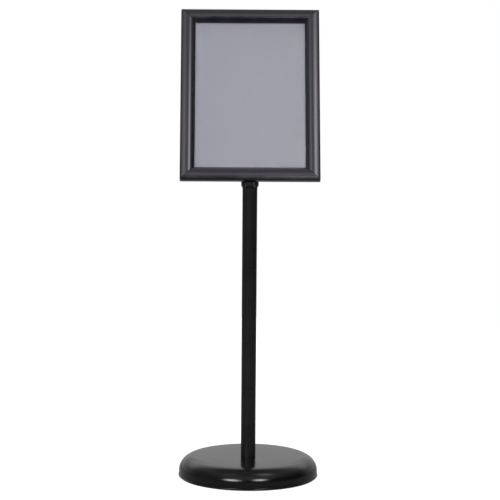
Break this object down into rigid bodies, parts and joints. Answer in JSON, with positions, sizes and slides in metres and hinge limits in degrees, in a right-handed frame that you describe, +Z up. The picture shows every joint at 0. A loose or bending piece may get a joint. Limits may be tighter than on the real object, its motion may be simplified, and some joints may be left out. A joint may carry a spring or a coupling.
{
  "type": "poster stand",
  "caption": "Free-standing sign holder: a snap-open frame that tilts and turns on a slim post above a round weighted base.",
  "frame": {"origin": "middle of the base, on the floor", "axes": "+Z up along the post, the sheet faces -Y, +X to the right as seen from the front"},
  "size_m": [0.2406, 0.2769, 0.7967],
  "materials": {
    "rail_black": "black anodised extrusion, satin",
    "post_black": "black powder coat on steel tube, semi-gloss",
    "base_gloss": "black gloss coat on pressed steel",
    "bracket_black": "black powder coat on steel",
    "cast_weight": "rough casting",
    "zinc_plate": "zinc-plated steel",
    "dark_steel": "black oxide on steel",
    "spring_steel": "tempered spring strip",
    "head_plastic": "black moulded plastic, satin",
    "friction_plastic": "natural friction plastic",
    "panel_grey": "grey plastic sheet, matt",
    "clear_sheet": "clear anti-glare film",
    "base_rubber": "black rubber, matt"
  },
  "bodies": {
    "stand": {"base_cover": "base_gloss", "base_weight": "cast_weight", "under_plate": "zinc_plate", "base_ring": "base_rubber", "post_bolt": "zinc_plate", "post_washer": "zinc_plate", "post_tube": "post_black", "foot_plug": "zinc_plate", "post_head": "head_plastic", "tilt_bolt": "dark_steel", "tilt_nut": "dark_steel", "tilt_washers": "friction_plastic"},
    "tilt_arm": {"tilt_arm": "bracket_black", "friction_disc": "friction_plastic"},
    "frame": {"mount_bar": "bracket_black", "bar_screws": "dark_steel", "pivot_stud": "zinc_plate", "spring_washer": "zinc_plate", "turn_nut": "zinc_plate", "stop_pin": "zinc_plate", "rear_rail_top": "rail_black", "rear_rail_bottom": "rail_black", "rear_rail_left": "rail_black", "rear_rail_right": "rail_black", "corner_brackets": "zinc_plate", "bracket_screws": "dark_steel", "rail_springs": "spring_steel", "back_panel": "panel_grey", "cover_sheet": "clear_sheet"},
    "rail_top": {"front_rail_top": "rail_black"},
    "rail_bottom": {"front_rail_bottom": "rail_black"},
    "rail_left": {"front_rail_left": "rail_black"},
    "rail_right": {"front_rail_right": "rail_black"}
  },
  "joints": [
    {"name": "frame_tilt", "type": "hinge", "parent": "stand", "child": "tilt_arm", "pos_m": [0, 0, 0.5108], "axis": [-1, 0, 0], "range_deg": [-32, 28]},
    {"name": "frame_turn", "type": "hinge", "parent": "tilt_arm", "child": "frame", "pos_m": [0, 0.07042, 0.65369], "axis": [0, -0.848, 0.5299], "range_deg": [0, 90]},
    {"name": "top_rail_snap", "type": "hinge", "parent": "frame", "child": "rail_top", "pos_m": [0, 0.14935, 0.79434], "axis": [-1, 0, 0], "range_deg": [0, 90]},
    {"name": "bottom_rail_snap", "type": "hinge", "parent": "frame", "child": "rail_bottom", "pos_m": [0, -0.02139, 0.5211], "axis": [1, 0, 0], "range_deg": [0, 90]},
    {"name": "left_rail_snap", "type": "hinge", "parent": "frame", "child": "rail_left", "pos_m": [-0.1176, 0.06398, 0.65772], "axis": [0, -0.5299, -0.848], "range_deg": [0, 90]},
    {"name": "right_rail_snap", "type": "hinge", "parent": "frame", "child": "rail_right", "pos_m": [0.1176, 0.06398, 0.65772], "axis": [0, 0.5299, 0.848], "range_deg": [0, 90]}
  ]
}
